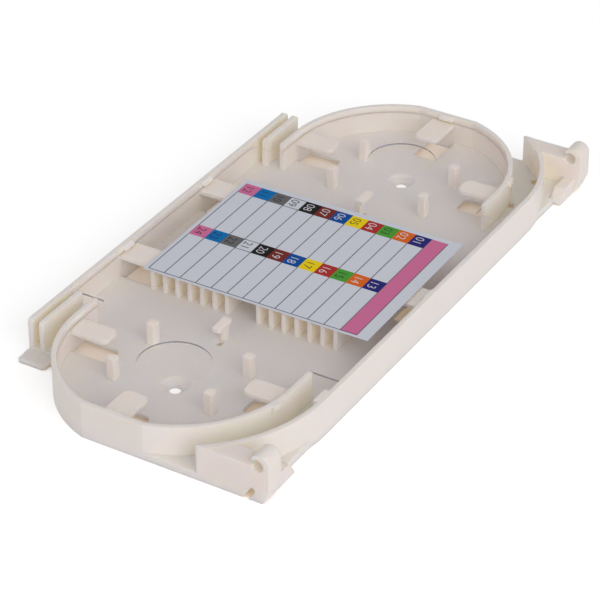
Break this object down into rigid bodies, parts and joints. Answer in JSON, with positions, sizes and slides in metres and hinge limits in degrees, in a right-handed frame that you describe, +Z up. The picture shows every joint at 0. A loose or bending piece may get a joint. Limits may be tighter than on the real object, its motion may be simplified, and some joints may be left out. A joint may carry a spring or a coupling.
{
  "type": "fibre splice tray",
  "caption": "Moulded splice tray with round fibre bays at both ends, fin combs for splice protectors, snap hinges, a clear cover and a colour-code card.",
  "frame": {"origin": "midway between the two screw holes, in the plane that the tray's skirt and hubs stand on", "axes": "+X across the tray towards the hinge side, +Y along the tray, +Z up out of the open side"},
  "size_m": [0.0894, 0.1784, 0.0142],
  "materials": {
    "tray": "natural ivory moulded ABS with a soft sheen",
    "cover": "clear polycarbonate sheet",
    "card": "white paper sticker",
    "ink_lines": "thin printed lines",
    "ink_pink": "flat printed ink",
    "ink_light_blue": "flat printed ink",
    "ink_grey": "flat printed ink",
    "ink_black": "flat printed ink",
    "ink_brown": "flat printed ink",
    "ink_blue": "flat printed ink",
    "ink_yellow": "flat printed ink",
    "ink_red": "flat printed ink",
    "ink_green": "flat printed ink",
    "ink_orange": "flat printed ink",
    "ink_navy": "flat printed ink"
  },
  "bodies": {
    "root": {"tray": "tray", "cover": "cover", "card": "card", "ink_lines": "ink_lines", "ink_pink": "ink_pink", "ink_light_blue": "ink_light_blue", "ink_grey": "ink_grey", "ink_black": "ink_black", "ink_brown": "ink_brown", "ink_blue": "ink_blue", "ink_yellow": "ink_yellow", "ink_red": "ink_red", "ink_green": "ink_green", "ink_orange": "ink_orange", "ink_navy": "ink_navy"}
  },
  "joints": []
}
